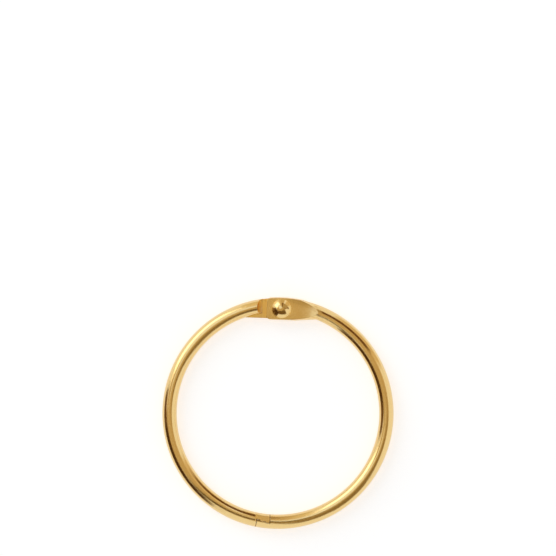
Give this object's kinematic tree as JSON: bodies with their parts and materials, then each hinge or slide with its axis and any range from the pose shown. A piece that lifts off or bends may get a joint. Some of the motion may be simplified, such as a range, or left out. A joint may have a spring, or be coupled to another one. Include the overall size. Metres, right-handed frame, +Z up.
{
  "type": "binder ring",
  "caption": "Hinged ring of round gold-coloured wire for loose leaves, with a riveted fork hinge and a hooked snap lap, lying flat and closed.",
  "frame": {"origin": "centre of the closed ring, on the surface that it lies on", "axes": "+Z up, along the hinge pin; +Y from the ring's centre to the hinge; +X to the half that ends in the fork"},
  "size_m": [0.05, 0.0501, 0.0044],
  "materials": {
    "gold_wire": "polished",
    "gold_rivet": "polished"
  },
  "bodies": {
    "fork_side": {"fork_half": "gold_wire", "hinge_rivet": "gold_rivet"},
    "tongue_side": {"tongue_half": "gold_wire"}
  },
  "joints": [
    {"name": "hinge", "type": "hinge", "parent": "fork_side", "child": "tongue_side", "pos_m": [0, 0.0226, 0.0022], "axis": [0, 0, -1], "range_deg": [0, 118]}
  ]
}
